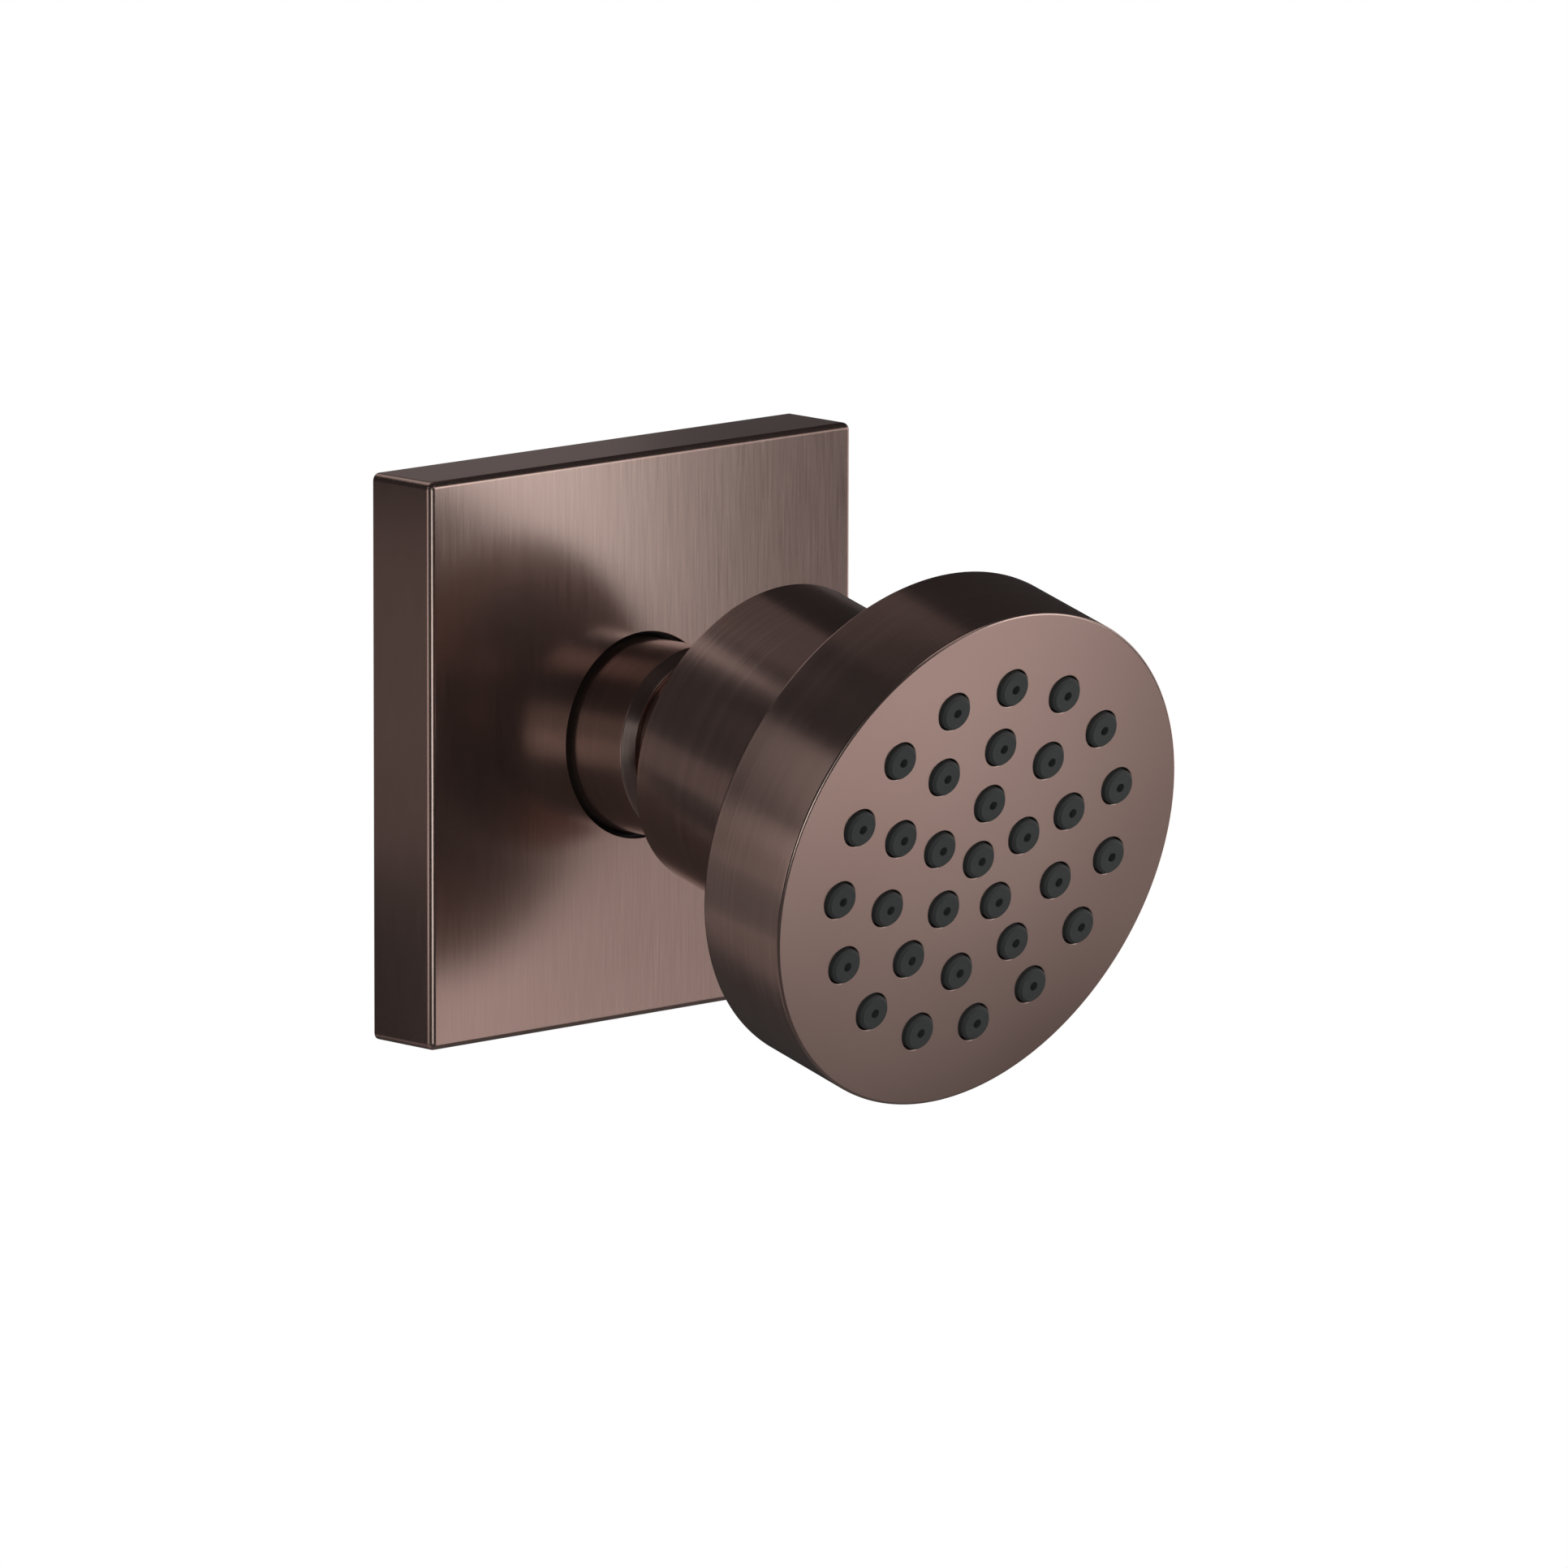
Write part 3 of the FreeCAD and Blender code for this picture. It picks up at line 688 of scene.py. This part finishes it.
# Thread: r = root + depth (1 - cos 2 pi (h / pitch - a / 2 pi)) / 2, held under the chamfer
# at the back end and fading out before the relief. Its normal is (d, 0) - dr/dh (0, 0, 1)
# - dr/da / r (across d), for the direction d at the angle a.
heights = np.linspace(-thread_length, 0.0, thread_rows)[:, None]
angles = np.linspace(0, 2 * math.pi, nipple_sides, endpoint=False)
turns = heights / thread_pitch - angles / (2 * math.pi)
fade = np.clip(-heights / thread_pitch, 0.0, 1.0)
ridge = (thread_radius - thread_root) * (1 - np.cos(2 * math.pi * turns)) / 2
chamfer = thread_root - thread_chamfer + (heights + thread_length) * chamfer_slope
radii = np.minimum(thread_root + ridge * fade, chamfer)
rise = np.gradient(radii, heights[:, 0], axis=0)
swing = (np.roll(radii, -1, 1) - np.roll(radii, 1, 1)) / (2 * (angles[1] - angles[0])) / radii
out = np.stack([np.cos(angles), np.sin(angles), 0 * angles], -1)
across = np.stack([-np.sin(angles), np.cos(angles), 0 * angles], -1)
thread_points = radii[..., None] * out
thread_points[..., 2] = heights
thread_normals = out - swing[..., None] * across
thread_normals[..., 2] = -rise
thread_normals /= np.linalg.norm(thread_normals, axis=-1, keepdims=True)
first = nipple.gather(thread_points.reshape(-1, 3), thread_normals.reshape(-1, 3))
nipple.join(first, *radii.shape)

_, washer_seat = nipple.carry(rounded(
    (thread_root, 0.0, 0.0),
    (relief_radius, 0.0, relief_edge),
    (relief_radius, washer_thickness, 0.0)), circle(nipple_sides))
hex_bottom, hex_top = nipple.carry(rounded(
    (hex_flat - hex_edge, washer_thickness, 0.0),
    (hex_flat, washer_thickness + hex_edge, fine_edge),
    (hex_flat, hex_front - hex_edge, fine_edge),
    (hex_flat - hex_edge, hex_front, 0.0)), polygon(6, hex_flat, hex_corner))
foot, spigot = nipple.carry(rounded(
    (spigot_radius, hex_front, 0.0),
    (spigot_radius, spigot_groove[0], fine_edge),
    (spigot_groove_radius, spigot_groove[0], fine_edge),
    (spigot_groove_radius, spigot_groove[1], fine_edge),
    (spigot_radius, spigot_groove[1], fine_edge),
    (spigot_radius, spigot_end, broken_edge),
    (spigot_radius - spigot_band, spigot_end, 0.0)), circle(nipple_sides))
nipple.fill(hex_bottom, [washer_seat], up=False)
nipple.fill(hex_top, [foot])
nipple.fill(spigot, [key])
nipple_piece = nipple.finish(
    "inlet_nipple_threaded", wall_place, "inlet", "bare_brass", "inlet_nipple")


def turned_brass(name, place, roughness):
    """Bare brass, tarnished a little along the marks of its turning."""
    paint = Paint(name, Metallic=1.0, Anisotropic=0.3)
    marks = paint.strokes(place, *turning_marks)
    paint.feed("Base Color", paint.blend(marks, brass_colour, brass_tarnish))
    paint.feed("Roughness", marks * turning_roughness + roughness)
    return paint, marks


brass, marks = turned_brass("bare brass", wall_place, 0.2)
brass.relief(marks, turning_depth)
brass.put_on(nipple_piece)


# The soft pieces: black rubber rings that seal or grip, a washer, and a foam frame behind
# the plate.

ring_dark = (0.022, 0.021, 0.021, 1.0)
ring_worn = (0.035, 0.034, 0.034, 1.0)
ring_roughness = 0.4
foam_dark = (0.02, 0.02, 0.022, 1.0)
foam_light = (0.07, 0.07, 0.075, 1.0)
foam_marks = 2.5
foam_depth = 0.15
rings = ("plate_ring", "inlet_ring", "stud_ring", "regulator_ring", "ball_ring",
         "chamber_ring", "inlet_washer")
ring_rubber = soft_rubber("ring rubber", ring_dark, ring_worn, ring_roughness)
ring_rubber.put_on(*(nodes[name] for name in rings))
foam = Paint("foam", Roughness=0.95)
pores = foam.strokes(wall_place, foam_marks, foam_marks, foam_marks)
foam.feed("Base Color", foam.blend(pores, foam_dark, foam_light))
foam.relief(pores, foam_depth)
foam.put_on(nodes["wall_gasket"])


# The moulded pieces: white seats round the ball, a grey tray behind the mat, and a blue
# flow regulator, all with the faint grain of a mould.

seat_white = (0.76, 0.75, 0.71)
tray_grey = (0.32, 0.33, 0.34)
regulator_blue = (0.08, 0.2, 0.42)
grain_marks = 0.5
grain_tone = 0.86
grain_roughness = 0.15
grain_depth = 0.01


def moulded(name, colour, roughness):
    """Hard plastic, a little uneven in tone and gloss."""
    paint = Paint(name, Specular_IOR_Level=0.5)
    grain = paint.strokes(head_place, grain_marks, grain_marks, grain_marks, 2.0)
    deeper = tuple(grain_tone * part for part in colour)
    paint.feed("Base Color", paint.blend(grain, (*deeper, 1.0), (*colour, 1.0)))
    paint.feed("Roughness", grain * grain_roughness + roughness)
    paint.relief(grain, grain_depth)
    return paint


moulded("seat plastic", seat_white, 0.3).put_on(
    nodes["rear_ball_seat"], nodes["front_ball_seat"])
moulded("tray plastic", tray_grey, 0.4).put_on(nodes["water_spreader"])
moulded("regulator plastic", regulator_blue, 0.35).put_on(nodes["flow_regulator"])


# The metal pieces inside: a brass nut, and a strainer, spring and screws of stainless steel.
# The nut keeps the marks of its turning, and the steel is a little uneven.

steel_dark = (0.56, 0.56, 0.57, 1.0)
steel_light = (0.68, 0.68, 0.68, 1.0)
steel_marks = (3.0, 3.0, 0.3)
steel_roughness = 0.22
marks_roughness = 0.15
marks_depth = 0.002

nut_brass, _ = turned_brass("nut brass", head_place, 0.25)
nut_brass.put_on(nodes["seat_nut"])
steel = Paint("stainless steel", Metallic=1.0, Anisotropic=0.2)
marks = steel.strokes(head_place, *steel_marks)
steel.feed("Base Color", steel.blend(marks, steel_dark, steel_light))
steel.feed("Roughness", marks * marks_roughness + steel_roughness)
steel.relief(marks, marks_depth)
steel.put_on(nodes["strainer"], nodes["seat_spring"], nodes["spreader_screws"])


# The studio: white paper behind and a pale floor well below, both bright for the camera
# alone, and soft boxes all round. Each box is placed by where it stands from the object,
# and its power is fitted to the tones in the photograph.

floor_drop = 0.30
floor_half = 0.55
floor_grey = (0.8, 0.8, 0.8, 1.0)
floor_share = 0.9
floor_glow = 0.85
room_grey = 0.022
lit_spot = Vector((0.0, -0.035, 0.0))
plain = (1.0, 0.96, 0.95)
warm = (1.0, 0.86, 0.84)
cool = (0.88, 1.0, 1.0)
boxes = (
    ("strip before the face", (0.105, -0.175, -0.015), 0.05, 0.23, 0.0157, plain),
    ("key low at the right", (0.25, -0.30, -0.135), 0.11, 0.15, 0.042, plain),
    ("card by the face", (0.09, -0.15, 0.02), 0.06, 0.08, 0.0244, cool),
    ("long box at the right", (0.43, -0.375, 0.08), 0.63, 0.21, 0.35, plain),
    ("card at the front left", (-0.11, -0.19, -0.035), 0.07, 0.07, 0.0427, cool),
    ("card at the right side", (0.16, -0.03, 0.0), 0.12, 0.12, 0.036, plain),
    ("card low at the right side", (0.16, 0.0, -0.06), 0.15, 0.10, 0.03, plain),
    ("wide card behind at the right", (0.30, 0.06, -0.12), 0.30, 0.20, 0.11, plain),
    ("card above the left side", (-0.14, 0.01, 0.065), 0.04, 0.08, 0.0055, plain),
    ("card behind the left side", (-0.115, 0.055, -0.01), 0.09, 0.04, 0.0018, warm),
    ("wide box at the front left", (-0.63, -1.0, 0.08), 0.50, 0.60, 0.85, cool),
    ("card at the left side", (-0.165, 0.015, -0.015), 0.07, 0.08, 0.0168, plain),
    ("small card at the left", (-0.08, 0.01, -0.035), 0.04, 0.04, 0.0008, plain),
    ("card under the left side", (-0.085, 0.015, -0.10), 0.12, 0.08, 0.0075, warm),
    ("card over the top", (0.01, 0.03, 0.12), 0.08, 0.08, 0.003, warm),
    ("card over the back", (-0.03, 0.055, 0.11), 0.09, 0.05, 0.0101, plain),
    ("card behind the top", (0.135, 0.215, 0.125), 0.12, 0.13, 0.0058, warm),
    ("card behind at the right", (0.20, 0.20, 0.05), 0.12, 0.08, 0.003, warm),
    ("card over the head", (0.0, -0.10, 0.07), 0.04, 0.04, 0.0049, plain),
)

corners = [(-floor_half, -floor_half), (floor_half, -floor_half),
           (floor_half, floor_half), (-floor_half, floor_half)]
floor_mesh = bpy.data.meshes.new("floor")
floor_mesh.from_pydata([(x, y, -floor_drop) for x, y in corners], [], [(0, 1, 2, 3)])
floor = bpy.data.objects.new("floor", floor_mesh)
bpy.context.scene.collection.objects.link(floor)
floor_paint = Paint("floor", Base_Color=floor_grey, Roughness=0.7)
bare = Reading(floor_paint, floor_paint.surface.outputs["BSDF"])
pale = floor_paint.add("ShaderNodeEmission", None, {"Strength": floor_glow})
seen = floor_paint.add("ShaderNodeLightPath")
both = floor_paint.add("ShaderNodeMixShader", None, {0: seen * floor_share, 1: bare, 2: pale})
floor_end = floor_paint.tree.nodes["Material Output"]
floor_paint.tree.links.new(both.socket, floor_end.inputs["Surface"])
floor_paint.put_on(floor)

world = bpy.data.worlds.new("studio")
bpy.context.scene.world = world
world.use_nodes = True
tree = world.node_tree
room = tree.nodes["Background"]
room.inputs["Color"].default_value = (room_grey, room_grey, room_grey, 1.0)
paper = tree.nodes.new("ShaderNodeBackground")
paper.inputs["Color"].default_value = (1.0, 1.0, 1.0, 1.0)
path = tree.nodes.new("ShaderNodeLightPath")
mix = tree.nodes.new("ShaderNodeMixShader")
tree.links.new(path.outputs["Is Camera Ray"], mix.inputs[0])
tree.links.new(room.outputs[0], mix.inputs[1])
tree.links.new(paper.outputs[0], mix.inputs[2])
tree.links.new(mix.outputs[0], tree.nodes["World Output"].inputs["Surface"])

for name, place, width, height, watts, tint in boxes:
    lamp = bpy.data.lights.new(name, "AREA")
    lamp.shape = "RECTANGLE"
    lamp.size = width
    lamp.size_y = height
    lamp.energy = watts
    lamp.color = tint
    box = bpy.data.objects.new(name, lamp)
    bpy.context.scene.collection.objects.link(box)
    box.location = place
    box.rotation_euler = (Vector(place) - lit_spot).to_track_quat("Z", "Y").to_euler()
    box.visible_camera = False
